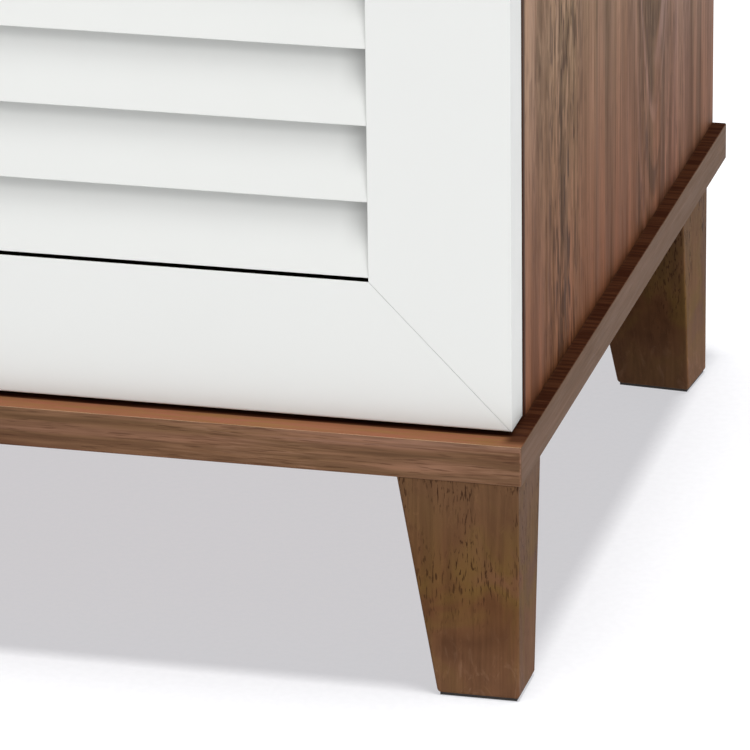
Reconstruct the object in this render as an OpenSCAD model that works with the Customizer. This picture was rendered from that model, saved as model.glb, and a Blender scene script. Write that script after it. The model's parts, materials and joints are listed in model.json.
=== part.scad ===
// Shoe cabinet with two louvred doors on tapered legs.
// Origin: centre of the footprint on the floor. +X right, +Y to the back, +Z up.

/* [Carcass] */
// Overall width over the base and top boards
body_w = 800; // [640:10:1000]
// Overall depth over the base and top boards
body_d = 400; // [340:5:450]
// Thickness of the carcass boards
board_t = 16; // [15:1:19]
// How far the base and top boards stand out past the side panels
side_overhang = 6; // [3:1:12]
// How far the base and top boards stand out past the door fronts
front_overhang = 10; // [6:0.2:20]
// Distance of the shelf front edges behind the side panel front edges
shelf_setback = 20; // [18:1:40]

/* [Doors] */
// Thickness of the door frame
door_t = 18; // [16:1:20]
// Width of the upright frame members
stile_w = 55.4; // [48:0.2:70]
// Width of the level frame members
rail_w = 56.4; // [48:0.2:70]
// Number of louvre slats in each door
louvre_count = 22; // [12:1:26]
// Height from one slat to the next
louvre_pitch = 30.2; // [26:0.2:34]
// Lean of the slats from upright
louvre_tilt = 15; // [8:1:17]
// Thickness of a slat
louvre_t = 5.5; // [4:0.5:6]
// Open gap between the bottom rail and the lowest slat
louvre_gap = 1.2; // [1:0.1:3]
// Fall of the bottom rail's upper edge to the back, in degrees
rail_fall = 30; // [0:1:40]
// Gap under and over each door
door_gap = 2.2; // [1:0.1:3]
// Gap between the two doors
centre_gap = 3; // [2:0.5:5]
// Gap between the back of a door and the side panel edge
hinge_gap = 2; // [1.5:0.1:2]

/* [Legs] */
// Height of the wooden leg
leg_h = 88; // [70:1:150]
// Thickness of the pad under the leg
pad_t = 1; // [1:0.5:5]
// Width of the leg at the top
leg_top_w = 47.7; // [40:0.1:60]
// Width of the leg at the foot
leg_foot_w = 32.3; // [25:0.1:40]
// Depth of the leg at the top
leg_top_d = 39; // [34:1:50]
// Depth of the leg at the foot
leg_foot_d = 28; // [24:1:34]
// Distance of the rear legs in front of the back edge
rear_leg_inset = 28.8; // [5:0.2:60]
// Angle that the rear legs are turned outwards on their bolts
rear_leg_turn = 4.7; // [0:0.1:8]

/* [Hinges] */
// Height of the hinges above the door bottom and below the door top
hinge_inset = 100; // [90:1:120]
// Diameter of the hinge cup
cup_d = 35; // [35:1:35]

/* [Hidden] */
$fn = 48;
eps = 0.05;
fit = 0.05;

// Shelves on each side of the divider
shelf_count = 4;

// Levels
base_z = leg_h + pad_t;
floor_z = base_z + board_t;
door_h = 2 * rail_w + louvre_count * louvre_pitch + louvre_gap;
door_z = floor_z + door_gap;
inner_h = door_h + 2 * door_gap;
top_z = floor_z + inner_h;
total_h = top_z + board_t;

// Plan positions, centred on the outline that the knobs extend to the front
knob_l = 21.6;
knob_proud = max(0, knob_l - front_overhang);
half_w = body_w / 2;
front_y = -(body_d - knob_proud) / 2;
back_y = front_y + body_d;
side_x = half_w - side_overhang;
inner_x = side_x - board_t;
divider_x = board_t / 2;
door_front_y = front_y + front_overhang;
door_rear_y = door_front_y + door_t;
panel_y = door_rear_y + hinge_gap;

// Back panel in its groove
back_t = 3;
back_inset = 10;
groove_d = 6;
groove_play = 0.2;
back_panel_y = back_y - back_inset - back_t;

// Door outline
door_in_x = centre_gap / 2;
open_x0 = door_in_x + stile_w;
open_x1 = side_x - stile_w;
open_z0 = door_z + rail_w;
open_z1 = door_z + door_h - rail_w;
door_x_mid = door_in_x + stile_w / 2;
knob_z = door_z + door_h / 2;

// Louvre slats
louvre_h = louvre_pitch + 5;
louvre_face = louvre_t / cos(louvre_tilt);
louvre_lean = louvre_h * tan(louvre_tilt);
tenon = 6;
tenon_play = 0.1;
tenon_set_back = 2;
slat_end_play = 0.15;

// Shelves and their pins
bay_h = (inner_h - shelf_count * board_t) / (shelf_count + 1);
shelf_y = panel_y + shelf_setback;
shelf_play = 0.5;
pin_r = 2.5;
pin_depth = 9;
pin_reach = 8;
pin_y = [shelf_y + 37, back_panel_y - 50];
pin_step = 32;

// Board joints: dowels and cam fittings
dowel_r = 4;
dowel_l = 32;
dowel_in = 10;
cam_r = 7.5;
cam_t = 12.5;
cam_set = 34;
bolt_r = 3.5;
bolt_in = 11;
joint_x = [-inner_x - board_t / 2, 0, inner_x + board_t / 2];
dowel_y = [panel_y + 30, back_panel_y - 24];
cam_y = [panel_y + 70, back_panel_y - 64];

// Leg fixings
leg_side_inset = 1.3;
leg_front_inset = 0.3;
rear_leg_side_inset = 3.5;
insert_r = 6;
insert_h = 13;
leg_bolt_r = 4;
leg_bolt_l = 50;

// Hinge, measured from the outer front corner of a side panel
arm_pin = [-24, -3];
cup_pin = [-8, -6];
link_bend = [-16, -9.5];
hinge_pin_r = 1.2;
cup_x = -21;
cup_depth = 11;
cup_wall = 1.2;
flange_t = 0.8;
flange_r = cup_d / 2 + 1.5;
wing_z = 24;
wing_r = 5;
link_half = 4.9;
cheek_in = 5.1;
cheek_out = 7.1;
arm_back = 60;
arm_top = -29;
plate_t = 2;
plate_y = 37;
plate_z = 16;
screw_r = 1.75;
screw_l = 12;
hinge_z = [door_z + hinge_inset, door_z + door_h - hinge_inset];

// Knobs
knob_r = 13;
knob_stem_r = 6;
knob_bolt_r = 2;
knob_bolt_in = 12;

// Magnetic catches under the top board
catch_w = 46;
catch_d = 15;
catch_h = 13;
catch_x = divider_x + 6 + catch_w / 2;
strike_t = 1;
strike_w = 38;
strike_h = 12;
catch_gap = 0.3;

walnut = "#7d5f52";
stained_wood = "#644830";
white_paint = "#ecece9";
steel = "#b9bcc0";
beech = "#d8bd92";
hardboard = "#8b6a48";
dark_plastic = "#2b2826";

// ---- Shared shapes ----

// Box from two opposite corners
module block(low, high) {
    translate(low) cube(high - low);
}

// Rod from a start point along X, Y or Z
module rod_x(start, r, l) {
    translate(start) rotate([0, 90, 0]) cylinder(r = r, h = l);
}

module rod_y(start, r, l) {
    translate(start) rotate([-90, 0, 0]) cylinder(r = r, h = l);
}

module rod_z(start, r, l) {
    translate(start) cylinder(r = r, h = l);
}

// Mirror to the left side when side is -1
module on_side(side) {
    if (side < 0) mirror([1, 0, 0]) children();
    else children();
}

// Flat bar between two points in plan, with round ends
module flat_bar(p, q, w) {
    d = q - p;
    translate(p) rotate(atan2(d[1], d[0])) translate([0, -w / 2]) square([norm(d), w]);
    translate(p) circle(r = w / 2);
    translate(q) circle(r = w / 2);
}

// Countersunk screw along +Z with its head at the origin
module screw(r, l) {
    head_r = 1.9 * r;
    cylinder(r1 = head_r, r2 = r, h = head_r - r);
    cylinder(r = r, h = l);
}

// ---- Carcass ----

// Bores for the dowels and bolts in a level board, from its inner face
module board_bores(z, up) {
    for (x = joint_x) {
        for (y = dowel_y) {
            rod_z([x, y, up ? z - dowel_in : z], dowel_r + fit, dowel_in);
        }
        for (y = cam_y) {
            rod_z([x, y, up ? z - bolt_in : z], bolt_r + fit, bolt_in);
        }
    }
}

// Bores for the dowels, bolts and cams in the ends of an upright panel
module upright_bores(x, cam_side) {
    for (y = dowel_y) {
        rod_z([x, y, floor_z - eps], dowel_r + fit, dowel_l - dowel_in + 1);
        rod_z([x, y, top_z - dowel_l + dowel_in - 1], dowel_r + fit, dowel_l - dowel_in + 1 + eps);
    }
    for (y = cam_y) {
        rod_z([x, y, floor_z - eps], bolt_r + fit, cam_set + eps);
        rod_z([x, y, top_z - cam_set], bolt_r + fit, cam_set + eps);
        for (z = [floor_z + cam_set, top_z - cam_set]) cam_pocket(x, y, z, cam_side);
    }
}

module cam_pocket(x, y, z, cam_side) {
    start = x + cam_side * board_t / 2 - (cam_side > 0 ? cam_t + fit : eps);
    rod_x([start, y, z], cam_r + fit, cam_t + fit + eps);
}

// Rows of shelf pin holes at each shelf, in the face at x
module pin_holes(x, dir) {
    for (i = [1 : shelf_count]) {
        for (y = pin_y) {
            for (step = [-1 : 1]) {
                z = shelf_z(i) - pin_r + step * pin_step;
                rod_x([dir > 0 ? x - eps : x - pin_depth, y, z], pin_r + fit, pin_depth + eps);
            }
        }
    }
}

function shelf_z(i) = floor_z + i * bay_h + (i - 1) * board_t;

// Groove that holds the edge of the back panel
module back_groove_level(z) {
    block([-inner_x - groove_d, back_panel_y - groove_play, z],
        [inner_x + groove_d, back_panel_y + back_t + groove_play, z + groove_d]);
}

module base_board() {
    color(walnut) difference() {
        block([-half_w, front_y, base_z], [half_w, back_y, floor_z]);
        board_bores(floor_z + eps, true);
        back_groove_level(floor_z - groove_d + eps);
        for (p = leg_bolt_points) rod_z([p[0], p[1], base_z - eps], insert_r + fit, insert_h + eps);
    }
}

module top_board() {
    color(walnut) difference() {
        block([-half_w, front_y, top_z], [half_w, back_y, total_h]);
        board_bores(top_z - eps, false);
        back_groove_level(top_z - eps);
        for (side = [-1, 1]) {
            for (x = catch_screw_x) rod_z([side * x, catch_screw_y, top_z - eps], screw_r + fit, 9);
        }
    }
}

module side_panel(side) {
    color(walnut) on_side(side) difference() {
        block([inner_x, panel_y, floor_z], [side_x, back_y, top_z]);
        upright_bores(inner_x + board_t / 2, -1);
        pin_holes(inner_x, 1);
        block([inner_x - eps, back_panel_y - groove_play, floor_z - eps],
            [inner_x + groove_d, back_panel_y + back_t + groove_play, top_z + eps]);
        for (z = hinge_z) {
            for (s = [-1, 1]) {
                rod_x([inner_x - eps, panel_y + plate_y, z + s * plate_z], screw_r + fit, screw_l);
            }
        }
    }
}

module centre_divider() {
    color(walnut) difference() {
        block([-divider_x, panel_y, floor_z], [divider_x, back_panel_y - 0.5, top_z]);
        upright_bores(0, 1);
        for (i = [1 : shelf_count]) {
            for (y = pin_y) {
                for (step = [-1 : 1]) {
                    z = shelf_z(i) - pin_r + step * pin_step;
                    rod_x([-divider_x - eps, y, z], pin_r + fit, board_t + 2 * eps);
                }
            }
        }
    }
}

module back_panel() {
    play = 0.5;
    color(hardboard)
        block([-inner_x - groove_d + play, back_panel_y, floor_z - groove_d + play],
            [inner_x + groove_d - play, back_panel_y + back_t, top_z + groove_d - play]);
}

module shelf(side, i) {
    color(walnut) on_side(side)
        block([divider_x + shelf_play, shelf_y, shelf_z(i)],
            [inner_x - shelf_play, back_panel_y - 1, shelf_z(i) + board_t]);
}

module shelf_pins() {
    color(steel) for (side = [-1, 1]) {
        on_side(side) for (i = [1 : shelf_count]) {
            for (y = pin_y) {
                z = shelf_z(i) - pin_r;
                rod_x([inner_x - pin_reach, y, z], pin_r, pin_reach + pin_depth - 0.5);
                rod_x([divider_x - board_t / 2 + 0.2, y, z], pin_r, pin_reach + board_t / 2 - 0.2);
            }
        }
    }
}

module dowels() {
    color(beech) for (x = joint_x) {
        for (y = dowel_y) {
            rod_z([x, y, floor_z - dowel_in + 0.5], dowel_r, dowel_l - 1);
            rod_z([x, y, top_z - dowel_l + dowel_in + 0.5], dowel_r, dowel_l - 1);
        }
    }
}

// Bolts that reach from the level boards into the cams
module cam_bolts() {
    reach = cam_set - cam_r - 0.2;
    color(steel) for (x = joint_x) {
        for (y = cam_y) {
            rod_z([x, y, floor_z - bolt_in + 0.3], bolt_r, bolt_in + reach - 0.3);
            rod_z([x, y, top_z - reach], bolt_r, bolt_in + reach - 0.3);
        }
    }
}

module cam_discs() {
    color(steel) for (x = joint_x) {
        dir = x > 0 ? -1 : 1;
        face = x + dir * board_t / 2;
        for (y = cam_y) {
            for (z = [floor_z + cam_set, top_z - cam_set]) cam_disc(face, y, z, dir);
        }
    }
}

// One cam with a cross slot in its visible face
module cam_disc(face, y, z, dir) {
    slot_w = 1.6;
    slot_l = 9;
    slot_d = 1.5;
    recess = 0.3;
    translate([face, y, z]) rotate([0, dir > 0 ? -90 : 90, 0]) difference() {
        translate([0, 0, recess]) cylinder(r = cam_r, h = cam_t - recess);
        for (a = [0, 90]) {
            rotate(a) translate([-slot_l / 2, -slot_w / 2, 0]) cube([slot_l, slot_w, slot_d + recess]);
        }
    }
}

// ---- Legs ----

front_leg_y = front_y + leg_front_inset;
rear_leg_y = back_y - rear_leg_inset;
front_leg_x = half_w - leg_side_inset;
rear_leg_x = half_w - rear_leg_side_inset;
leg_bolt_set = [leg_foot_w / 2 + 2, leg_foot_d / 2 + 2];
front_bolt = [front_leg_x - leg_bolt_set[0], front_leg_y + leg_bolt_set[1]];
rear_bolt = [rear_leg_x - leg_bolt_set[0], rear_leg_y - leg_bolt_set[1]];
leg_bolt_points = [for (side = [-1, 1]) for (p = [front_bolt, rear_bolt]) [side * p[0], p[1]]];

// Square leg about its bolt axis, upright on its outer faces and tapered on its
// two inner faces. Its outer corner points to +X and -Y.
module leg() {
    out_x = leg_bolt_set[0];
    out_y = -leg_bolt_set[1];
    color(stained_wood) difference() {
        intersection() {
            translate([0, leg_top_d, pad_t]) rotate([90, 0, 0])
                linear_extrude(2 * leg_top_d) polygon([
                    [out_x, 0],
                    [out_x, leg_h],
                    [out_x - leg_top_w, leg_h],
                    [out_x - leg_foot_w, 0]
                ]);
            translate([-leg_top_w, 0, pad_t]) rotate([90, 0, 90])
                linear_extrude(2 * leg_top_w) polygon([
                    [out_y, 0],
                    [out_y, leg_h],
                    [out_y + leg_top_d, leg_h],
                    [out_y + leg_foot_d, 0]
                ]);
        }
        translate([0, 0, base_z - leg_bolt_l + insert_h]) cylinder(r = leg_bolt_r + fit, h = leg_bolt_l);
    }
}

// Pad about the bolt axis, a little smaller than the foot
module foot_pad() {
    edge = 1;
    block([leg_bolt_set[0] - leg_foot_w + edge, -leg_bolt_set[1] + edge, 0],
        [leg_bolt_set[0] - edge, leg_foot_d - leg_bolt_set[1] - edge, pad_t]);
}

module at_front_leg(side) {
    on_side(side) translate([front_bolt[0], front_bolt[1], 0]) children();
}

module at_rear_leg(side) {
    on_side(side) translate([rear_bolt[0], rear_bolt[1], 0]) rotate(-rear_leg_turn)
        mirror([0, 1, 0]) children();
}

module leg_bolts() {
    color(steel) for (p = leg_bolt_points) {
        rod_z([p[0], p[1], base_z - leg_bolt_l + insert_h + 1], leg_bolt_r, leg_bolt_l - 2);
    }
}

// Threaded sleeves that hold the leg bolts in the base board
module leg_inserts() {
    color(steel) for (p = leg_bolt_points) {
        difference() {
            rod_z([p[0], p[1], base_z], insert_r, insert_h - 0.5);
            rod_z([p[0], p[1], base_z - eps], leg_bolt_r + fit, insert_h + eps);
        }
    }
}

module foot_pads() {
    color(dark_plastic) for (side = [-1, 1]) {
        at_front_leg(side) foot_pad();
        at_rear_leg(side) foot_pad();
    }
}

// ---- Doors ----

// Frame member cut from an outline in the plane of the door
module frame_member(points) {
    translate([0, door_rear_y, 0]) rotate([90, 0, 0]) linear_extrude(door_t) polygon(points);
}

// Cross-section of slat number i, grown by play, run from x0 to x1
module slat(i, x0, x1, play) {
    z = open_z0 + louvre_gap + i * louvre_pitch;
    y = door_front_y;
    translate([x0, 0, 0]) rotate([90, 0, 90]) linear_extrude(x1 - x0) polygon([
        [y - play, z - play],
        [y + louvre_face + play, z - play],
        [y + louvre_face + louvre_lean + play, z + louvre_h + play],
        [y + louvre_lean - play, z + louvre_h + play]
    ]);
}

// Keeps only what lies a little behind the door front, so the slots stay hidden
module behind_front(set_back) {
    intersection() {
        children();
        block([0, door_front_y + set_back, door_z], [side_x, door_rear_y + 1, door_z + door_h]);
    }
}

module slat_slots(x0, x1) {
    behind_front(tenon_set_back - tenon_play) {
        for (i = [0 : louvre_count - 1]) slat(i, x0, x1, tenon_play);
    }
}

module outer_stile(side) {
    color(white_paint) on_side(side) difference() {
        frame_member([
            [side_x, door_z],
            [side_x, door_z + door_h],
            [open_x1, open_z1],
            [open_x1, open_z0]
        ]);
        slat_slots(open_x1 - eps, open_x1 + tenon + 0.5);
        for (z = hinge_z) {
            rod_y([side_x + cup_x, door_rear_y - cup_depth, z], cup_d / 2 + fit, cup_depth + eps);
            for (s = [-1, 1]) {
                rod_y([side_x + cup_x, door_rear_y - screw_l, z + s * wing_z],
                    screw_r + fit, screw_l + eps);
            }
        }
    }
}

module inner_stile(side) {
    color(white_paint) on_side(side) difference() {
        frame_member([
            [door_in_x, door_z],
            [open_x0, open_z0],
            [open_x0, open_z1],
            [door_in_x, door_z + door_h]
        ]);
        slat_slots(open_x0 - tenon - 0.5, open_x0 + eps);
        rod_y([door_x_mid, door_front_y - eps, knob_z], knob_bolt_r + fit, door_t + 2 * eps);
    }
}

// The upper edge falls to the back, so the gap under the lowest slat stays clear
module bottom_rail(side) {
    fall = door_t * tan(rail_fall);
    color(white_paint) on_side(side) difference() {
        frame_member([
            [door_in_x, door_z],
            [side_x, door_z],
            [open_x1, open_z0],
            [open_x0, open_z0]
        ]);
        translate([open_x0, 0, 0]) rotate([90, 0, 90]) linear_extrude(open_x1 - open_x0) polygon([
            [door_front_y, open_z0],
            [door_rear_y, open_z0 - fall],
            [door_rear_y + 1, open_z0 - fall],
            [door_rear_y + 1, open_z0 + 1],
            [door_front_y, open_z0 + 1]
        ]);
    }
}

// The highest slat runs up into a groove in this rail
module top_rail(side) {
    color(white_paint) on_side(side) difference() {
        frame_member([
            [door_in_x, door_z + door_h],
            [open_x0, open_z1],
            [open_x1, open_z1],
            [side_x, door_z + door_h]
        ]);
        slat(louvre_count - 1, open_x0 - tenon - 0.5, open_x1 + tenon + 0.5, tenon_play);
    }
}

module louvres(side) {
    color(white_paint) on_side(side) for (i = [0 : louvre_count - 1]) {
        slat(i, open_x0 + slat_end_play, open_x1 - slat_end_play, 0);
        behind_front(tenon_set_back) slat(i, open_x0 - tenon, open_x1 + tenon, 0);
    }
}

module knob(side) {
    base_r = 8;
    neck = 9;
    color(steel) on_side(side) translate([door_x_mid, door_front_y, knob_z]) rotate([90, 0, 0])
        difference() {
            rotate_extrude() union() {
                square([base_r, 2]);
                square([knob_stem_r, neck + 2]);
                translate([0, neck]) square([knob_r - 3, knob_l - neck]);
                translate([0, neck + 3]) square([knob_r, knob_l - neck - 6]);
                translate([knob_r - 3, neck + 3]) circle(r = 3);
                translate([knob_r - 3, knob_l - 3]) circle(r = 3);
            }
            translate([0, 0, -eps]) cylinder(r = knob_bolt_r + fit, h = knob_bolt_in + eps);
        }
}

module knob_bolt(side) {
    head_t = 2;
    color(steel) on_side(side) {
        rod_y([door_x_mid, door_front_y - knob_bolt_in + 0.5, knob_z],
            knob_bolt_r, door_t + knob_bolt_in - 0.5);
        rod_y([door_x_mid, door_rear_y, knob_z], 2 * knob_bolt_r, head_t);
    }
}

// ---- Hinges ----

// Places a hinge part at both hinge heights, at the corner of a side panel
module at_hinges(side) {
    on_side(side) for (z = hinge_z) translate([side_x, panel_y, z]) children();
}

// Flat shape in plan, raised from z0 to z1 and repeated below the centre
module twin(z0, z1) {
    for (s = [0, 1]) mirror([0, 0, s]) translate([0, 0, z0]) linear_extrude(z1 - z0) children();
}

module hinge_plates(side) {
    rib_top = arm_top + 2.2;
    wing = 22;
    color(steel) at_hinges(side) difference() {
        union() {
            block([-board_t - plate_t, plate_y - 7, -wing], [-board_t, plate_y + 7, wing]);
            block([rib_top, plate_y - 17, -link_half], [-board_t, arm_back, link_half]);
        }
        for (s = [-1, 1]) {
            rod_x([-board_t - plate_t - eps, plate_y, s * plate_z], screw_r + fit, plate_t + 2 * eps);
            translate([-board_t - plate_t - eps, plate_y, s * plate_z]) rotate([0, 90, 0])
                cylinder(r1 = 1.9 * screw_r + 2 * fit, r2 = screw_r + fit, h = 0.9 * screw_r + eps);
        }
    }
}

// Channel arm that straddles the plate and reaches into the cup
module hinge_arms(side) {
    web_t = 2;
    nose = [-26, 9];
    color(steel) at_hinges(side) {
        block([arm_top, 6, -cheek_out], [arm_top + web_t, arm_back, cheek_out]);
        difference() {
            twin(cheek_in, cheek_out) {
                polygon([[arm_top, 6], [arm_top + 9.5, 10], [arm_top + 9.5, arm_back - 4],
                    [arm_top + 6, arm_back], [arm_top, arm_back]]);
                flat_bar(arm_pin, nose, 5.2);
            }
            rod_z([arm_pin[0], arm_pin[1], -10], hinge_pin_r + fit, 20);
        }
    }
}

// Bent link between the arm pin and the cup pin
module hinge_links(side) {
    eye_r = 2.1;
    bar_w = 2;
    color(steel) at_hinges(side) difference() {
        translate([0, 0, -link_half]) linear_extrude(2 * link_half) {
            translate(arm_pin) circle(r = eye_r);
            translate(cup_pin) circle(r = eye_r);
            flat_bar(arm_pin, link_bend, bar_w);
            flat_bar(link_bend, cup_pin, bar_w);
        }
        rod_z([arm_pin[0], arm_pin[1], -10], hinge_pin_r + fit, 20);
        rod_z([cup_pin[0], cup_pin[1], -10], hinge_pin_r + fit, 20);
    }
}

// Pressed cup with a flange, two screw wings and two pin lugs
module hinge_cups(side) {
    rear = -hinge_gap;
    inner_r = cup_d / 2 - cup_wall;
    color(steel) at_hinges(side) difference() {
        union() {
            difference() {
                union() {
                    rod_y([cup_x, rear - cup_depth, 0], cup_d / 2, cup_depth);
                    rod_y([cup_x, rear, 0], flange_r, flange_t);
                    for (s = [-1, 1]) {
                        rod_y([cup_x, rear, s * wing_z], wing_r, flange_t);
                        block([cup_x - wing_r, rear, min(0, s * wing_z)],
                            [cup_x + wing_r, rear + flange_t, max(0, s * wing_z)]);
                    }
                }
                rod_y([cup_x, rear - cup_depth + 0.8, 0], inner_r, cup_depth + 2);
            }
            intersection() {
                twin(cheek_in, cheek_out)
                    translate([cup_pin[0] - 2.6, rear - cup_depth]) square([8, cup_depth - 1.5]);
                rod_y([cup_x, rear - cup_depth, 0], cup_d / 2, cup_depth);
            }
        }
        rod_z([cup_pin[0], cup_pin[1], -8], hinge_pin_r + fit, 16);
        for (s = [-1, 1]) {
            rod_y([cup_x, rear - eps, s * wing_z], screw_r + fit, flange_t + 2 * eps);
        }
    }
}

module hinge_arm_pins(side) {
    color(steel) at_hinges(side) rod_z([arm_pin[0], arm_pin[1], -cheek_out], hinge_pin_r, 2 * cheek_out);
}

module hinge_cup_pins(side) {
    color(steel) at_hinges(side) rod_z([cup_pin[0], cup_pin[1], -cheek_out], hinge_pin_r, 2 * cheek_out);
}

module hinge_plate_screws() {
    color(steel) for (side = [-1, 1]) {
        at_hinges(side) for (s = [-1, 1]) {
            translate([-board_t - plate_t, plate_y, s * plate_z]) rotate([0, 90, 0])
                screw(screw_r, screw_l - 1);
        }
    }
}

// Flat-headed screws through the wings of the cups
module hinge_cup_screws(side) {
    head_r = 3;
    head_t = 0.5;
    color(steel) at_hinges(side) for (s = [-1, 1]) {
        rod_y([cup_x, -hinge_gap + flange_t - screw_l + 0.5, s * wing_z], screw_r, screw_l - 0.5);
        rod_y([cup_x, -hinge_gap + flange_t, s * wing_z], head_r, head_t);
    }
}

// ---- Catches ----

catch_y = panel_y - hinge_gap + strike_t + catch_gap;
catch_screw_x = [catch_x - 18, catch_x + 18];
catch_screw_y = catch_y + catch_d / 2;

// Plastic housing with two steel pole plates in its front
module magnet_catches() {
    color(dark_plastic) for (side = [-1, 1]) {
        on_side(side) difference() {
            union() {
                block([catch_x - catch_w / 2, catch_y + 3, top_z - 3],
                    [catch_x + catch_w / 2, catch_y + catch_d, top_z]);
                block([catch_x - 12, catch_y, top_z - catch_h], [catch_x + 12, catch_y + catch_d, top_z]);
            }
            for (x = catch_screw_x) {
                rod_z([x, catch_screw_y, top_z - 3 - eps], screw_r + fit, 3 + 2 * eps);
            }
        }
    }
}

module catch_screws() {
    head_r = 3.2;
    head_t = 1.6;
    color(steel) for (side = [-1, 1]) {
        on_side(side) for (x = catch_screw_x) {
            rod_z([x, catch_screw_y, top_z - 3], screw_r, 3 + 8);
            rod_z([x, catch_screw_y, top_z - 3 - head_t], head_r, head_t);
        }
    }
}

module strike_plate(side) {
    color(steel) on_side(side)
        block([catch_x - strike_w / 2, door_rear_y, top_z - 1 - strike_h],
            [catch_x + strike_w / 2, door_rear_y + strike_t, top_z - 1.5 - door_gap]);
}

// ---- Nodes ----

base_board();
top_board();
side_panel(-1);  // side_panel_left
side_panel(1);  // side_panel_right
centre_divider();
back_panel();
shelf(-1, 1);  // shelf_left_1
shelf(-1, 2);  // shelf_left_2
shelf(-1, 3);  // shelf_left_3
shelf(-1, 4);  // shelf_left_4
shelf(1, 1);  // shelf_right_1
shelf(1, 2);  // shelf_right_2
shelf(1, 3);  // shelf_right_3
shelf(1, 4);  // shelf_right_4
shelf_pins();
dowels();
cam_bolts();
cam_discs();
at_front_leg(-1) leg();  // leg_front_left
at_front_leg(1) leg();  // leg_front_right
at_rear_leg(-1) leg();  // leg_rear_left
at_rear_leg(1) leg();  // leg_rear_right
leg_bolts();
leg_inserts();
foot_pads();
outer_stile(-1);  // door_left_outer_stile
inner_stile(-1);  // door_left_inner_stile
top_rail(-1);  // door_left_top_rail
bottom_rail(-1);  // door_left_bottom_rail
louvres(-1);  // door_left_louvres
outer_stile(1);  // door_right_outer_stile
inner_stile(1);  // door_right_inner_stile
top_rail(1);  // door_right_top_rail
bottom_rail(1);  // door_right_bottom_rail
louvres(1);  // door_right_louvres
knob(-1);  // knob_left
knob(1);  // knob_right
knob_bolt(-1);  // knob_bolt_left
knob_bolt(1);  // knob_bolt_right
hinge_plates(-1);  // hinge_plates_left
hinge_plates(1);  // hinge_plates_right
hinge_arms(-1);  // hinge_arms_left
hinge_arms(1);  // hinge_arms_right
hinge_links(-1);  // hinge_links_left
hinge_links(1);  // hinge_links_right
hinge_cups(-1);  // hinge_cups_left
hinge_cups(1);  // hinge_cups_right
hinge_arm_pins(-1);  // hinge_arm_pins_left
hinge_arm_pins(1);  // hinge_arm_pins_right
hinge_cup_pins(-1);  // hinge_cup_pins_left
hinge_cup_pins(1);  // hinge_cup_pins_right
hinge_plate_screws();
hinge_cup_screws(-1);  // hinge_cup_screws_left
hinge_cup_screws(1);  // hinge_cup_screws_right
magnet_catches();
catch_screws();
strike_plate(-1);  // strike_plate_left
strike_plate(1);  // strike_plate_right
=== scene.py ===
"""Looks of the shoe cabinet: walnut laminate, white louvred doors, stained legs and plated fittings."""
import json
import math

import bmesh
import bpy
from mathutils import Matrix, Vector

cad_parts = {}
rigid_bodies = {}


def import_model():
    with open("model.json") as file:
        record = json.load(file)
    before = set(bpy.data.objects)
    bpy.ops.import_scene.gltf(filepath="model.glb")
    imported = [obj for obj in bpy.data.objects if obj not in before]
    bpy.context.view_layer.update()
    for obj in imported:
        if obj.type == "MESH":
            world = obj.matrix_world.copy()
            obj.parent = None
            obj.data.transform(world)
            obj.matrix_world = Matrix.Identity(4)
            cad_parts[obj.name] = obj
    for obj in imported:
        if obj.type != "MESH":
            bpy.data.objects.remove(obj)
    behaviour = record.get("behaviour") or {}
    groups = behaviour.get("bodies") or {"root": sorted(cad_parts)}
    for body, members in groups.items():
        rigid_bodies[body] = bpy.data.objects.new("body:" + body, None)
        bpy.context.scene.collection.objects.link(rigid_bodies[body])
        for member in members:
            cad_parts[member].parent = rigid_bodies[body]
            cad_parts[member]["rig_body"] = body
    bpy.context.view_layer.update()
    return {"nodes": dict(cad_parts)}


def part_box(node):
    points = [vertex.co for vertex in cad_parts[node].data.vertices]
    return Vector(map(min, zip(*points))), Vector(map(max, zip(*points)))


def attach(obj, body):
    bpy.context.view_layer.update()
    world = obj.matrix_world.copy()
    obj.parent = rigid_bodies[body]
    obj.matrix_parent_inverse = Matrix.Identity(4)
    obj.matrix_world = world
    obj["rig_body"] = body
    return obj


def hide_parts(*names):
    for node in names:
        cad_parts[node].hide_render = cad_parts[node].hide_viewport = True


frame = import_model()

MM = 0.001
WORLD_STRENGTH = 0.11
HIGH_POWER = 84
KEY_POWER = 182
RIM_POWER = 22
ABOVE_STRENGTH = 5.4
LIGHT_AIM = (0.1, -0.1, 0.3)
FLOOR_GLOW = (0.947, 0.956, 1.0, 1)
FLOOR_GLOW_STRENGTH = 0.589
WOOD_GLOSS = 0.02
BROAD_SWING = 0.18
NARROW_SWING = 0.08
SIDES = ("left", "right")
SHELF_LEVELS = 4
SLAT_PITCH = 30.2 * MM
ON_PLANE = 0.01 * MM

# ---------------------------------------------------------------- camera and light


def make_camera():
    """A long lens at the lower right corner, turned left, tilted down and rolled slightly."""
    place = Vector((0.88256, -2.27722, 0.94131))
    turn, tilt, roll = (math.radians(a) for a in (14.513, 20.661, 0.716))
    data = bpy.data.cameras.new("camera")
    data.lens = 291.8
    data.sensor_width = 36
    data.clip_start = 0.05
    data.clip_end = 50
    data.dof.use_dof = False
    camera = bpy.data.objects.new("camera", data)
    bpy.context.scene.collection.objects.link(camera)
    aim = Matrix.Rotation(turn, 4, "Z") @ Matrix.Rotation(-tilt, 4, "X")
    aim = aim @ Matrix.Rotation(roll, 4, "Y") @ Matrix.Rotation(math.pi / 2, 4, "X")
    camera.matrix_world = Matrix.Translation(place) @ aim
    bpy.context.scene.camera = camera


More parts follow.
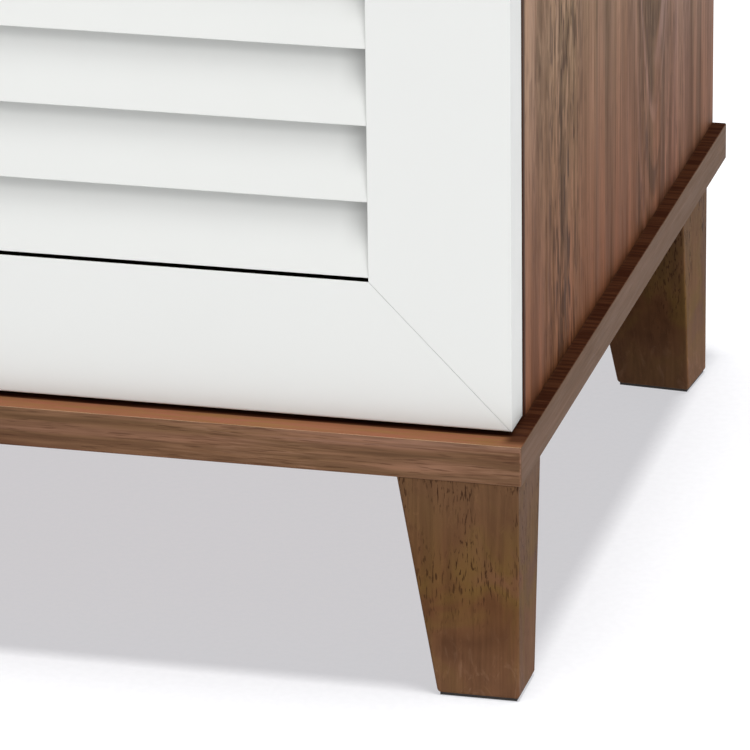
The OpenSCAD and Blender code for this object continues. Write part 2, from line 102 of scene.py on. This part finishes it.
def add_light(kind, name, place, target, power, **settings):
    """A light at a place, aimed at a target."""
    data = bpy.data.lights.new(name, kind)
    data.energy = power
    for key, value in settings.items():
        setattr(data, key, value)
    light = bpy.data.objects.new(name, data)
    light.location = place
    light.rotation_euler = (Vector(target) - Vector(place)).to_track_quat("-Z", "Y").to_euler()
    bpy.context.scene.collection.objects.link(light)
    return light


def shine_on(light, obj, state):
    """Limits a light to one object, or keeps it off that object."""
    group = bpy.data.collections.new(light.name + "_receivers")
    group.objects.link(obj)
    group.collection_objects[0].light_linking.link_state = state
    light.light_linking.receiver_collection = group


def add_box(name, place, width, depth, power):
    """A rectangular soft box that points at the cabinet."""
    return add_light("AREA", name, place, LIGHT_AIM, power, shape="RECTANGLE", size=width, size_y=depth)


def make_lights(floor):
    """Dim white surroundings, three soft boxes for the cabinet, and a lamp that lights only the floor."""
    world = bpy.data.worlds.new("studio")
    bpy.context.scene.world = world
    world.use_nodes = True
    background = world.node_tree.nodes["Background"]
    background.inputs["Color"].default_value = (1.0, 1.0, 1.0, 1.0)
    background.inputs["Strength"].default_value = WORLD_STRENGTH
    for box in (add_box("high_box", (0.46, -1.36, 4.44), 2.88, 1.62, HIGH_POWER),
                add_box("key", (2.62, -3.88, 4.62), 3.4, 3.4, KEY_POWER),
                add_box("rim", (-2.4, 1.2, 2.0), 1.4, 1.4, RIM_POWER)):
        shine_on(box, floor, "EXCLUDE")
    above = add_light("SUN", "above", (0.0, 0.0, 4.0), (0.0, 0.0, 0.0), ABOVE_STRENGTH,
                      angle=math.radians(15))
    shine_on(above, floor, "INCLUDE")


# ---------------------------------------------------------------- material graphs


def tone(red, green, blue):
    """A display colour, 0 to 255, as a linear one."""
    def linear(c):
        c /= 255
        return c / 12.92 if c <= 0.04045 else ((c + 0.055) / 1.055) ** 2.4
    return (linear(red), linear(green), linear(blue), 1.0)


class Graph:
    """One material's node tree. An input takes a number, a colour or another node's output."""

    def __init__(self, name, metallic=0.0, specular=0.5):
        self.material = bpy.data.materials.new(name)
        self.material.use_nodes = True
        self.tree = self.material.node_tree
        self.shader = self.tree.nodes["Principled BSDF"]
        self.shader.inputs["Metallic"].default_value = metallic
        self.shader.inputs["Specular IOR Level"].default_value = specular

    def put(self, socket, value):
        """Links an output to a socket, or sets the socket's own value."""
        if isinstance(value, bpy.types.NodeSocket):
            self.tree.links.new(value, socket)
        else:
            socket.default_value = value

    def node(self, kind, inputs, output=0, **settings):
        """Adds a node with its inputs and settings, and returns one of its outputs."""
        made = self.tree.nodes.new(kind)
        for key, value in settings.items():
            setattr(made, key, value)
        for key, value in inputs.items():
            self.put(made.inputs[key], value)
        return made.outputs[output]

    def position(self):
        """The place on the piece, in metres, in the piece's own axes."""
        return self.node("ShaderNodeTexCoord", {}, output="Object")

    def axes(self, vector):
        parts = self.tree.nodes.new("ShaderNodeSeparateXYZ")
        self.put(parts.inputs[0], vector)
        return parts.outputs

    def vector(self, x, y, z):
        return self.node("ShaderNodeCombineXYZ", {"X": x, "Y": y, "Z": z})

    def facing(self):
        """The surface's normal in the piece's own axes, so it turns with a door."""
        return self.axes(self.node("ShaderNodeTexCoord", {}, output="Normal"))

    def stretch(self, vector, scale, shift=(0, 0, 0)):
        return self.node("ShaderNodeMapping", {"Vector": vector, "Scale": scale, "Location": shift})

    def noise(self, vector, scale=1.0, detail=2.0, rough=0.5, warp=0.0):
        return self.node("ShaderNodeTexNoise", {
            "Vector": vector, "Scale": scale, "Detail": detail, "Roughness": rough, "Distortion": warp})

    def math(self, how, a, b=0.0):
        return self.node("ShaderNodeMath", {0: a, 1: b}, operation=how)

    def product(self, first, *others):
        """Several numbers or outputs multiplied together."""
        for other in others:
            first = self.math("MULTIPLY", first, other)
        return first

    def magnitude(self, value):
        return self.math("ABSOLUTE", value)

    def band(self, value, low, high, start=0.0, end=1.0):
        """value from low to high, mapped smoothly to start to end."""
        return self.node("ShaderNodeMapRange", {
            "Value": value, "From Min": low, "From Max": high, "To Min": start, "To Max": end},
            interpolation_type="SMOOTHSTEP")

    def mix(self, share, first, second, how="MIX"):
        made = self.tree.nodes.new("ShaderNodeMix")
        made.data_type = "RGBA"
        made.blend_type = how
        made.clamp_factor = True
        self.put(made.inputs["Factor"], share)
        self.put(made.inputs[6], first)
        self.put(made.inputs[7], second)
        return made.outputs[2]

    def scaled(self, colour, factor):
        """A colour made lighter or darker by a number or an output."""
        grey = self.node("ShaderNodeCombineColor", {0: factor, 1: factor, 2: factor})
        return self.mix(1.0, colour, grey, "MULTIPLY")

    def ramp(self, value, stops):
        """A colour for the value, from stops of (value, colour)."""
        made = self.tree.nodes.new("ShaderNodeValToRGB")
        ramp = made.color_ramp
        while len(ramp.elements) < len(stops):
            ramp.elements.new(0.5)
        for element, (place, colour) in zip(ramp.elements, stops):
            element.position = place
            element.color = colour
        self.put(made.inputs[0], value)
        return made.outputs[0]

    def finish(self, colour, rough, height, relief, strength=0.5):
        """Connects colour, roughness and a bump of the given relief, and returns the material."""
        self.put(self.shader.inputs["Base Color"], colour)
        self.put(self.shader.inputs["Roughness"], rough)
        bump = self.node("ShaderNodeBump", {"Height": height, "Distance": relief, "Strength": strength})
        self.put(self.shader.inputs["Normal"], bump)
        return self.material


# ---------------------------------------------------------------- materials


def grain_space(graph, axis):
    """Position with the grain along its third part; on board ends it turns to follow the edge strip."""
    x, y, z = graph.axes(graph.position())[:3]
    orders = {"X": (y, z, x), "Y": (x, z, y), "Z": (y, x, z)}
    along = graph.vector(*orders[axis])
    if axis == "X":
        ends = graph.band(graph.magnitude(graph.facing()[0]), 0.5, 0.9)
        along = graph.mix(ends, along, graph.vector(*orders["Y"]))
    return along


def arched_figure(graph, colour, across, along, centre):
    """Nested arches down one stripe of a board, dark and pale by turns."""
    aside = graph.math("SUBTRACT", across, centre)
    arch = graph.math("SUBTRACT", along, graph.product(aside, aside, 80.0))
    place = graph.vector(graph.product(arch, 30.0), 0.0, graph.product(aside, 9.0))
    wave = graph.noise(place, detail=2)
    near = graph.band(graph.magnitude(aside), 0.012, 0.055, 1, 0)
    dark = graph.product(near, graph.band(wave, 0.50, 0.60, 0, 0.75))
    pale = graph.product(near, graph.band(wave, 0.40, 0.50, 0.6, 0))
    colour = graph.mix(dark, colour, tone(88, 64, 46))
    return graph.mix(pale, colour, tone(150, 116, 104))


def walnut(name, axis, shift, grain=1.0, dense_at=None, flame_at=None, dress=None):
    """Walnut laminate: broad tones, growth bands, fine streaks, clustered pores and one arched figure.

    grain packs the figure more tightly for narrow faces. dense_at and flame_at are places across
    the board, in metres, for the densest pores and for the arched figure.
    """
    graph = Graph(name, specular=WOOD_GLOSS)
    plain = grain_space(graph, axis)
    space = graph.stretch(plain, (1, 1, 1), shift)
    across, _, along = graph.axes(plain)[:3]

    def figure(wide, deep, long, **settings):
        return graph.noise(graph.stretch(space, (wide, deep, long)), **settings)

    drift = figure(11 * grain, 11, 0.9 * grain, detail=2, warp=0.5)
    broad = figure(70 * grain, 70, 3.2 * grain, detail=1, warp=0.6)
    bands = figure(38 * grain, 38 * grain, 1.5 * grain, detail=3, rough=0.55, warp=0.9)
    lines = figure(230 * grain, 230 * grain, 9 * grain, detail=3, rough=0.6, warp=0.8)
    pores = figure(360 * grain, 360 * grain, 62, detail=2, rough=0.45, warp=0.4)
    specks = figure(1500, 1500, 85, detail=1)
    cluster = figure(17 * grain, 17, 3 * grain, detail=2)

    colour = graph.ramp(drift, [
        (0.32, tone(144, 104, 85)),
        (0.46, tone(130, 94, 74)),
        (0.58, tone(116, 87, 62)),
        (0.70, tone(110, 73, 58))])
    tinted = graph.ramp(bands, [
        (0.30, tone(162, 124, 106)),
        (0.45, tone(135, 98, 78)),
        (0.57, tone(108, 80, 58)),
        (0.70, tone(90, 60, 44))])
    colour = graph.mix(0.6, colour, tinted)
    swing = BROAD_SWING if grain == 1.0 else NARROW_SWING
    colour = graph.scaled(colour, graph.band(broad, 0.38, 0.62, 1 + swing, 1 - swing))
    if flame_at is not None:
        colour = arched_figure(graph, colour, across, along, flame_at)
    colour = graph.scaled(colour, graph.band(lines, 0.33, 0.68, 1.17, 0.82))

    crowd = graph.band(cluster, 0.46, 0.70)
    if dense_at is not None:
        aside = graph.magnitude(graph.math("SUBTRACT", across, dense_at))
        crowd = graph.math("MAXIMUM", graph.band(aside, 0.008, 0.05, 1, 0), graph.product(crowd, 0.5))
    dark = graph.product(graph.band(pores, 0.54, 0.64), crowd)
    light = graph.product(graph.band(pores, 0.36, 0.46, 1, 0), crowd)
    colour = graph.mix(graph.product(light, 0.5), colour, tone(170, 130, 106))
    colour = graph.mix(graph.product(dark, 0.85), colour, tone(68, 42, 28))
    colour = graph.mix(graph.band(specks, 0.60, 0.72, 0, 0.5), colour, tone(70, 45, 33))
    if dress:
        colour = dress(graph, colour)
    rough = graph.band(lines, 0.3, 0.7, 0.46, 0.58)
    height = graph.math("SUBTRACT", lines, graph.math("ADD", dark, graph.band(specks, 0.60, 0.72)))
    return graph.finish(colour, rough, height, relief=0.08 * MM, strength=0.4)


def base_dress(graph, colour):
    """The base board: olive-grey ends, a top that is warmer and lighter in front of the doors (partly its
    own tint, partly painted light), and painted shade on the top under the doors and beside the side panels.
    """
    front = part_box("base_board")[0][1]
    door_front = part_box("door_right_bottom_rail")[0][1]
    panel_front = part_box("side_panel_right")[0][1]
    panel_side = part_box("side_panel_right")[1][0]
    x, y, _ = graph.axes(graph.position())[:3]
    facing = graph.facing()
    ends = graph.band(graph.magnitude(facing[0]), 0.5, 0.9, 0, 0.8)
    colour = graph.mix(ends, colour, tone(112, 88, 70))

    # Partly painted light: the open top in front of the doors is painted lighter, as if lit from above, as
    # well as taking its own warmer tint.
    upward = graph.band(facing[2], 0.6, 0.95)
    behind_front = graph.band(y, door_front - 0.4 * MM, door_front + 0.4 * MM)
    mottle = graph.noise(graph.stretch(graph.position(), (45, 400, 400)), detail=3)
    warm = graph.ramp(mottle, [
        (0.36, tone(148, 104, 64)),
        (0.50, tone(150, 99, 68)),
        (0.64, tone(156, 97, 72))])
    tinted_and_lit_top = graph.product(upward, graph.math("SUBTRACT", 1.0, behind_front), 0.85)
    colour = graph.mix(tinted_and_lit_top, colour, warm)

    # Painted shade: the top under the doors and the strips beside the side panels are painted dark, where
    # they lie in shade.
    streak = graph.noise(graph.stretch(graph.position(), (30, 500, 500)), detail=2)
    deep = graph.mix(graph.band(streak, 0.4, 0.6), tone(62, 32, 20), tone(84, 50, 32))
    shade_under_doors = graph.product(behind_front, graph.band(y, panel_front, panel_front + 4 * MM, 1, 0))
    shade_beside_panels = graph.product(graph.band(graph.magnitude(x), panel_side - 4 * MM, panel_side + 1 * MM),
                           graph.band(y, front + 1 * MM, front + 8 * MM))
    painted_shade_mask = graph.math("MAXIMUM", shade_under_doors, shade_beside_panels)
    colour = graph.mix(graph.product(upward, painted_shade_mask), colour, deep)
    return painted_arris_highlight(graph, colour)


def painted_arris_highlight(graph, colour):
    """A painted highlight: a thin pale broken line where the board's front face meets its top, standing in
    for light on the rounded edge.
    """
    facing = graph.facing()
    broken = graph.noise(graph.stretch(graph.position(), (60, 1, 1)), detail=3)
    rising = graph.product(graph.band(facing[2], 0.2, 0.5), graph.band(facing[2], 0.8, 0.97, 1, 0))
    forward = graph.band(facing[1], -0.4, -0.2, 1, 0)
    share = graph.product(rising, forward, graph.band(broken, 0.3, 0.6, 0.45, 1.0))
    return graph.mix(share, colour, tone(238, 200, 164))


def panel_dress(graph, colour):
    """A side panel: painted shade makes its outer face redder and darker at the foot, by the base, and
    painted light makes it paler higher up; it is also cooler further back.

    The tints are held at a fraction of their strength, which outer_gain restores. neutral is
    the tint of the other faces.
    """
    outer_gain = 4.3
    neutral = (0.27, 0.27, 0.27, 1)
    low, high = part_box("side_panel_right")
    x, y, z = graph.axes(graph.position())[:3]
    facing = graph.facing()
    # Painted shade at the foot and painted light higher up, on the outer face only.
    tint = graph.ramp(graph.band(z, low[2] - 0.02, low[2] + 0.36), [
        (0.0, (0.262, 0.195, 0.140, 1)),
        (0.35, (0.395, 0.478, 0.510, 1)),
        (0.62, (0.500, 0.612, 0.690, 1))])
    depth = graph.band(y, low[1] + 0.15, high[1])
    cool = graph.mix(depth, (0.76, 0.72, 0.67, 1), (0.86, 0.94, 1.09, 1))
    tint = graph.mix(1.0, tint, cool, "MULTIPLY")
    outer = graph.band(graph.product(x, facing[0]), 0.1, 0.3)
    tint = graph.mix(outer, neutral, tint)
    colour = graph.scaled(graph.mix(1.0, colour, tint, "MULTIPLY"), outer_gain)

    # Painted shade: the front edge and the first few millimetres of the outer face are painted dark,
    # standing in for the shaded gap beside the door.
    shaded_front_face = graph.band(facing[1], -0.9, -0.6, 1, 0)
    shaded_front_edge = graph.band(y, low[1] + 2 * MM, low[1] + 5 * MM, 1, 0)
    strip = graph.math("MAXIMUM", shaded_front_face, shaded_front_edge)
    return graph.mix(graph.product(strip, 0.85), colour, tone(48, 22, 18))


def stained_wood(name, shift, front_shade=1.0):
    """Dark stained solid wood: cloudy stain, faint growth lines, short dark pores and a scuffed foot, with
    painted light on the side faces and painted shade on the front of the rear legs.

    front_shade is painted shade: it darkens the front face of the legs that stand under the back of the
    base.
    """
    graph = Graph(name, specular=WOOD_GLOSS)
    low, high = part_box("leg_front_right")
    space = graph.stretch(graph.position(), (1, 1, 1), shift)
    z = graph.axes(graph.position())[2]
    facing = graph.facing()

    def figure(scale, **settings):
        return graph.noise(graph.stretch(space, scale), **settings)

    cloud = figure((34, 34, 26), detail=3, rough=0.55, warp=0.8)
    growth = figure((260, 260, 14), detail=3, rough=0.6, warp=1.0)
    fine = figure((1300, 1300, 210), detail=2, rough=0.45, warp=0.5)
    cluster = figure((60, 60, 30), detail=1, rough=0.5)
    scuffs = figure((240, 240, 110), detail=3, rough=0.5, warp=1.6)
    knocks = figure((120, 120, 60), detail=3, rough=0.55, warp=2.5)

    colour = graph.ramp(cloud, [
        (0.30, tone(78, 49, 30)),
        (0.44, tone(99, 66, 42)),
        (0.56, tone(106, 78, 43)),
        (0.70, tone(112, 76, 54))])
    upper = graph.band(z, high[2] - 50 * MM, high[2], 0, 0.75)
    colour = graph.mix(upper, colour, tone(104, 76, 54))
    foot = graph.band(z, low[2] + 2 * MM, low[2] + 40 * MM, 0.6, 0)
    colour = graph.mix(foot, colour, tone(118, 84, 62))
    scraped = graph.product(graph.band(knocks, 0.54, 0.68, 0, 0.4),
                            graph.band(z, low[2], low[2] + 35 * MM, 1, 0))
    colour = graph.mix(scraped, colour, tone(142, 108, 84))
    # Painted light: the side faces are painted lighter than the front.
    colour = graph.scaled(colour, graph.band(graph.magnitude(facing[0]), 0.5, 0.9, 1.0, 1.15))
    # Painted shade on the front face of the rear legs.
    colour = graph.scaled(colour, graph.band(facing[1], -0.9, -0.5, front_shade, 1.0))
    colour = graph.scaled(colour, graph.band(growth, 0.35, 0.7, 1.08, 0.86))
    colour = graph.scaled(colour, graph.band(scuffs, 0.62, 0.74, 1.0, 1.18))
    crowd = graph.product(graph.band(cluster, 0.36, 0.60),
                          graph.band(z, low[2] + 10 * MM, high[2] - 30 * MM, 0.15, 1.0))
    pores = graph.product(graph.band(fine, 0.56, 0.64), crowd)
    colour = graph.mix(graph.product(pores, 0.8), colour, tone(46, 26, 15))
    rough = graph.band(cloud, 0.3, 0.7, 0.44, 0.56)
    height = graph.math("SUBTRACT", growth, pores)
    return graph.finish(colour, rough, height, relief=0.12 * MM, strength=0.5)


def slat_painted_shade(graph, colour):
    """Painted shade under the lip of each slat above, and near the stiles at both ends of the slats, where
    the stiles shade the recessed slats.
    """
    x, _, z = graph.axes(graph.position())[:3]
    height = graph.math("SUBTRACT", z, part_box("door_right_louvres")[0][2])
    share = graph.math("FRACT", graph.math("DIVIDE", height, SLAT_PITCH))
    # Painted shade: each slat darkens towards its top, under the lip of the slat above.
    colour = graph.scaled(colour, graph.band(share, 0.76, 0.95, 1.0, 0.80))
    away = graph.magnitude(x)
    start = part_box("door_right_inner_stile")[1][0]
    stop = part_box("door_right_outer_stile")[0][0]
    inward = graph.math("MINIMUM", graph.math("SUBTRACT", away, start), graph.math("SUBTRACT", stop, away))
    # Painted shade: the slats darken near the stiles.
    corner = graph.product(graph.band(inward, 1 * MM, 13 * MM, 0.27, 0), graph.band(share, 0.25, 0.75))
    return graph.scaled(colour, graph.math("SUBTRACT", 1.0, corner))


def white_lacquer(name, dress=None):
    """Sprayed satin white: slight orange peel, warm drift, and dust in the mitre joints."""
    graph = Graph(name)
    place = graph.position()
    peel = graph.noise(place, scale=900, detail=2)
    drift = graph.noise(place, scale=5, detail=2)
    colour = graph.mix(graph.band(drift, 0.3, 0.7), tone(234, 235, 232), tone(232, 233, 230))
    facing = graph.facing()
    oblique = graph.magnitude(graph.product(facing[0], facing[2]))
    colour = graph.scaled(colour, graph.band(oblique, 0.02, 0.08, 1.0, 0.74))
    if dress:
        colour = dress(graph, colour)
    rough = graph.band(graph.noise(place, scale=60, detail=3), 0.3, 0.7, 0.38, 0.47)
    return graph.finish(colour, rough, peel, relief=0.03 * MM, strength=0.25)


def plated_steel(name, colour, rough, brushed=False):
    """Plated steel with fine scratches, or brushed along X."""
    graph = Graph(name, metallic=1.0)
    place = graph.position()
    scale = (60, 2400, 2400) if brushed else (900, 900, 900)
    scratch = graph.noise(graph.stretch(place, scale), detail=2)
    stain = graph.noise(place, scale=70, detail=3)
    dark = tuple(c * 0.82 for c in colour[:3]) + (1.0,)
    tint = graph.mix(graph.band(stain, 0.35, 0.7), colour, dark)
    roughness = graph.band(scratch, 0.3, 0.7, rough - 0.07, rough + 0.1)
    return graph.finish(tint, roughness, scratch, relief=0.02 * MM, strength=0.3)


def hardboard():
    """Pressed fibre board with a printed brown face."""
    graph = Graph("hardboard_face")
    place = graph.position()
    fibre = graph.noise(graph.stretch(place, (500, 500, 160)), detail=4, rough=0.7, warp=1.5)
    cloud = graph.noise(place, scale=14, detail=3)
    colour = graph.ramp(graph.mix(0.4, fibre, cloud), [
        (0.3, tone(120, 92, 68)), (0.5, tone(139, 108, 80)), (0.7, tone(158, 128, 98))])
    return graph.finish(colour, graph.band(fibre, 0.3, 0.7, 0.6, 0.8), fibre, relief=0.2 * MM, strength=0.5)


def beech():
    """Pale dowel wood."""
    graph = Graph("beech_dowel")
    place = graph.position()
    grain = graph.noise(graph.stretch(place, (700, 700, 40)), detail=3)
    colour = graph.ramp(grain, [(0.35, tone(214, 184, 142)), (0.65, tone(188, 150, 104))])
    return graph.finish(colour, graph.band(grain, 0.3, 0.7, 0.5, 0.65), grain, relief=0.1 * MM)


def dark_plastic():
    """Moulded plastic with a fine spark texture."""
    graph = Graph("dark_plastic_moulding")
    spark = graph.noise(graph.position(), scale=1600, detail=2)
    colour = graph.mix(graph.band(spark, 0.35, 0.65), tone(38, 34, 31), tone(50, 45, 41))
    return graph.finish(colour, graph.band(spark, 0.3, 0.7, 0.5, 0.68), spark, relief=0.05 * MM)


def floor_material():
    """Bright paper sweep that keeps its shadows light."""
    graph = Graph("paper_sweep")
    tooth = graph.noise(graph.position(), scale=300, detail=2)
    colour = graph.mix(graph.band(tooth, 0.3, 0.7), (0.34, 0.34, 0.34, 1), (0.36, 0.36, 0.36, 1))
    graph.shader.inputs["Emission Color"].default_value = FLOOR_GLOW
    graph.shader.inputs["Emission Strength"].default_value = FLOOR_GLOW_STRENGTH
    return graph.finish(colour, 0.9, tooth, relief=0.02 * MM, strength=0.2)


# ---------------------------------------------------------------- shapes


def wear(obj, material):
    """Gives an object one material and no other."""
    obj.data.materials.clear()
    obj.data.materials.append(material)
    return obj


def clean_copy(name):
    """A CAD node's shape as an editable mesh, with its flat faces joined up."""
    mesh = bmesh.new()
    mesh.from_mesh(frame["nodes"][name].data)
    bmesh.ops.remove_doubles(mesh, verts=mesh.verts, dist=2e-6)
    bmesh.ops.dissolve_limit(mesh, angle_limit=math.radians(0.4), verts=mesh.verts, edges=mesh.edges)
    return mesh


def softened(name, material, radius_of, segments=4):
    """A piece that stands for a CAD node, with each sharp edge rounded by radius_of(start, end)."""
    mesh = clean_copy(name)
    weights = mesh.edges.layers.float.new("bevel_weight_edge")
    radii = {}
    for edge in mesh.edges:
        sharp = len(edge.link_faces) == 2 and edge.calc_face_angle(0) > math.radians(25)
        radii[edge] = radius_of(edge.verts[0].co, edge.verts[1].co) if sharp else 0.0
    widest = max(radii.values())
    for edge, radius in radii.items():
        edge[weights] = radius / widest
    for face in mesh.faces:
        face.smooth = False
    data = bpy.data.meshes.new("soft_" + name)
    mesh.to_mesh(data)
    mesh.free()
    piece = bpy.data.objects.new("soft_" + name, data)
    bpy.context.scene.collection.objects.link(piece)
    bevel = piece.modifiers.new("rounding", "BEVEL")
    bevel.limit_method = "WEIGHT"
    bevel.width = widest
    bevel.segments = segments
    bevel.use_clamp_overlap = True
    wear(piece, material)
    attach(piece, frame["nodes"][name]["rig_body"])
    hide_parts(name)
    return piece


def outline_rule(name, radius, upright_radius=None):
    """Rounds only the edges along the node's own box, so drilled holes stay crisp."""
    low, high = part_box(name)

    def planes(point):
        return {(axis, end[axis]) for axis in range(3) for end in (low, high)
                if abs(point[axis] - end[axis]) < ON_PLANE}

    def rule(start, end):
        if len(planes(start) & planes(end)) < 2:
            return 0.0
        upright = abs(start.x - end.x) < ON_PLANE and abs(start.y - end.y) < ON_PLANE
        return upright_radius if upright and upright_radius else radius
    return rule


def frame_rule(name, front_radius, back_radius, mitre_radius, corner_radius):
    """Soft outer edges on a door frame member, and a hairline joint at its mitres."""
    low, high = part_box(name)
    outer_x = max(abs(low[0]), abs(high[0]))

    def rule(start, end):
        run = end - start
        if abs(run.y) > ON_PLANE:
            return 0.0
        level = abs(run.z) < ON_PLANE
        upright = abs(run.x) < ON_PLANE
        if not level and not upright:
            return mitre_radius
        if upright and abs(abs(start.x) - outer_x) < ON_PLANE and start.y - low[1] < ON_PLANE:
            return corner_radius
        if abs(start.y - low[1]) < ON_PLANE:
            return front_radius
        if abs(start.y - high[1]) < ON_PLANE:
            return back_radius
        return 0.0
    return rule


def leg_rule(name, radius, top_radius):
    """Rounds a leg's long edges, and leaves its top nearly sharp so it meets the base closely."""
    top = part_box(name)[1][2]

    def rule(start, end):
        if (end - start).length < 20 * MM:
            return 0.0
        return top_radius if min(start.z, end.z) > top - 0.1 * MM else radius
    return rule


def long_edge_rule(radius, shortest):
    """Rounds every edge longer than the given length."""
    return lambda start, end: radius if (end - start).length > shortest else 0.0


# ---------------------------------------------------------------- dressing


def dress_boards():
    """Walnut boards and shelves, each with its own figure, and the hardboard back."""
    front, back = (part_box("side_panel_right")[end][1] for end in (0, 1))
    depth = back - front
    base = walnut("walnut_base", "X", (0.31, 0.12, 0.4), grain=2.6, dress=base_dress)
    top = walnut("walnut_top", "X", (1.7, 0.6, 2.1), dense_at=front + 0.3 * depth,
                 flame_at=front + 0.6 * depth)
    right = walnut("walnut_right", "Z", (0.2, 0.83, 0.9), dense_at=front + 0.19 * depth,
                   flame_at=front + 0.66 * depth, dress=panel_dress)
    left = walnut("walnut_left", "Z", (2.2, 3.1, 1.4), dense_at=front + 0.7 * depth,
                  flame_at=front + 0.35 * depth, dress=panel_dress)
    inside = walnut("walnut_inside", "Z", (5.1, 0.4, 3.3))
    shelf = walnut("walnut_shelf", "X", (3.4, 7.7, 0.8))
    for name, material in (("base_board", base), ("top_board", top), ("side_panel_right", right),
                           ("side_panel_left", left), ("centre_divider", inside)):
        edge = 0.6 * MM if name == "base_board" else 0.4 * MM
        softened(name, material, outline_rule(name, edge, 1.0 * MM))
    for side in SIDES:
        for level in range(1, SHELF_LEVELS + 1):
            name = f"shelf_{side}_{level}"
            softened(name, shelf, outline_rule(name, 0.4 * MM))
    wear(frame["nodes"]["back_panel"], hardboard())


def dress_legs():
    """Four stained legs; the rear pair has painted shade on its front face, under the base."""
    for number, name in enumerate(("leg_front_right", "leg_rear_right", "leg_front_left", "leg_rear_left")):
        shade = 0.55 if "rear" in name else 1.0
        wood = stained_wood(f"stained_{name}", (0.37 * number, 0.13 + 0.71 * number, 0.2), shade)
        softened(name, wood, leg_rule(name, 1.4 * MM, 0.2 * MM), segments=5)


def dress_doors():
    """White frames and slats for both doors."""
    paint = white_lacquer("white_lacquer_frame")
    # The slats carry painted shade under each lip and near the stiles.
    slats = white_lacquer("white_lacquer_slats", dress=slat_painted_shade)
    for side in SIDES:
        for part in ("outer_stile", "inner_stile", "top_rail", "bottom_rail"):
            name = f"door_{side}_{part}"
            softened(name, paint, frame_rule(name, 0.8 * MM, 0.6 * MM, 0.5 * MM, 1.8 * MM))
        name = f"door_{side}_louvres"
        softened(name, slats, long_edge_rule(0.8 * MM, 100 * MM))


def dress_fittings():
    """Metal, plastic and dowel parts keep their CAD shapes and get materials."""
    nickel = plated_steel("nickel_plate", (0.66, 0.65, 0.63, 1), 0.28)
    zinc = plated_steel("zinc_plate", (0.62, 0.63, 0.65, 1), 0.36)
    brushed = plated_steel("brushed_nickel_knob", (0.60, 0.58, 0.55, 1), 0.3, brushed=True)
    plastic = dark_plastic()
    groups = {
        nickel: ["hinge_plates_", "hinge_arms_", "hinge_arm_pins_", "hinge_links_", "hinge_cups_",
                 "hinge_cup_pins_"],
        zinc: ["hinge_cup_screws_", "strike_plate_", "knob_bolt_"],
        brushed: ["knob_"],
    }
    for material, stems in groups.items():
        for stem in stems:
            for side in SIDES:
                wear(frame["nodes"][stem + side], material)
    for name in ("shelf_pins", "cam_bolts", "cam_discs", "leg_bolts", "leg_inserts",
                 "hinge_plate_screws", "catch_screws"):
        wear(frame["nodes"][name], zinc)
    for name in ("foot_pads", "magnet_catches"):
        wear(frame["nodes"][name], plastic)
    wear(frame["nodes"]["dowels"], beech())


def make_floor():
    """A wide flat sweep under the feet."""
    mesh = bmesh.new()
    bmesh.ops.create_grid(mesh, x_segments=8, y_segments=8, size=12)
    data = bpy.data.meshes.new("floor")
    mesh.to_mesh(data)
    mesh.free()
    floor = bpy.data.objects.new("floor", data)
    bpy.context.scene.collection.objects.link(floor)
    wear(floor, floor_material())
    return floor


bpy.context.scene.view_settings.view_transform = "Standard"
make_camera()
make_lights(make_floor())
dress_boards()
dress_legs()
dress_doors()
dress_fittings()
